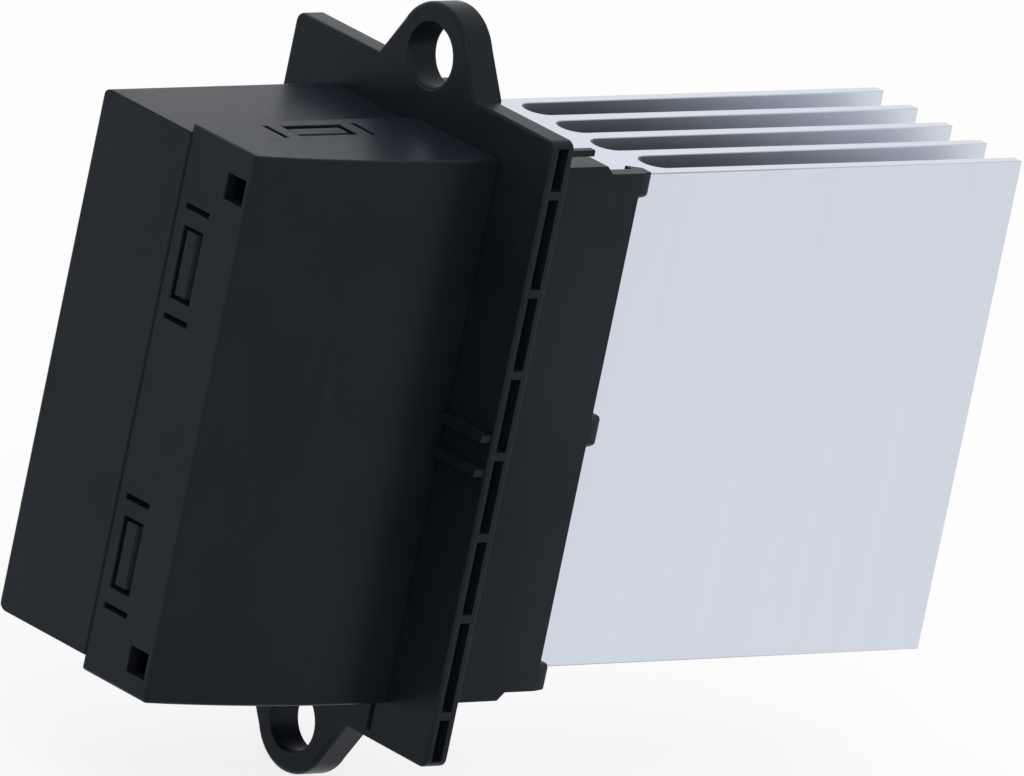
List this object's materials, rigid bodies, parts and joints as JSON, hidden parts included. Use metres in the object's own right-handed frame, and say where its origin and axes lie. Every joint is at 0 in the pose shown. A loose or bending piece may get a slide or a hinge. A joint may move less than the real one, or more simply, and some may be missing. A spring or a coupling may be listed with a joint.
{
  "type": "blower motor resistor",
  "caption": "Blower motor resistor: black flanged housing with ears, plug sockets and a clip-on side cover round a power board, and an aluminium heat sink with long flat fins held by hooks.",
  "frame": {"origin": "centre of the flange's seat, midway between the two ear holes", "axes": "+X along the ear holes, out of the seat towards the fins; +Y towards the plug side; +Z from the lower ear to the upper ear"},
  "size_m": [0.1181, 0.0478, 0.0948],
  "materials": {
    "black_plastic": "moulded, fine grain, satin",
    "aluminium": "plain extruded, satin",
    "board": "coated glass laminate",
    "epoxy": "moulded",
    "pad": "soft sheet",
    "steel": "zinc plated",
    "tinned_brass": "tin plated",
    "sleeve": "shrunk film",
    "ferrite": "sintered",
    "copper_wire": "enamelled",
    "ceramic": "fired"
  },
  "bodies": {
    "root": {"housing": "black_plastic", "side_cover": "black_plastic", "heat_sink": "aluminium", "circuit_board": "board", "transistor_upper": "epoxy", "transistor_lower": "epoxy", "thermal_pads": "pad", "transistor_screws": "steel", "board_screws": "steel", "motor_feed_blade": "tinned_brass", "motor_return_blade": "tinned_brass", "supply_blade": "tinned_brass", "ground_blade": "tinned_brass", "control_pin": "tinned_brass", "feedback_pin": "tinned_brass", "filter_capacitor": "sleeve", "choke_core": "ferrite", "choke_winding": "copper_wire", "current_shunt": "tinned_brass", "driver_chip": "epoxy", "suppressor_diode": "epoxy", "chip_resistors": "epoxy", "chip_capacitors": "ceramic"}
  },
  "joints": []
}
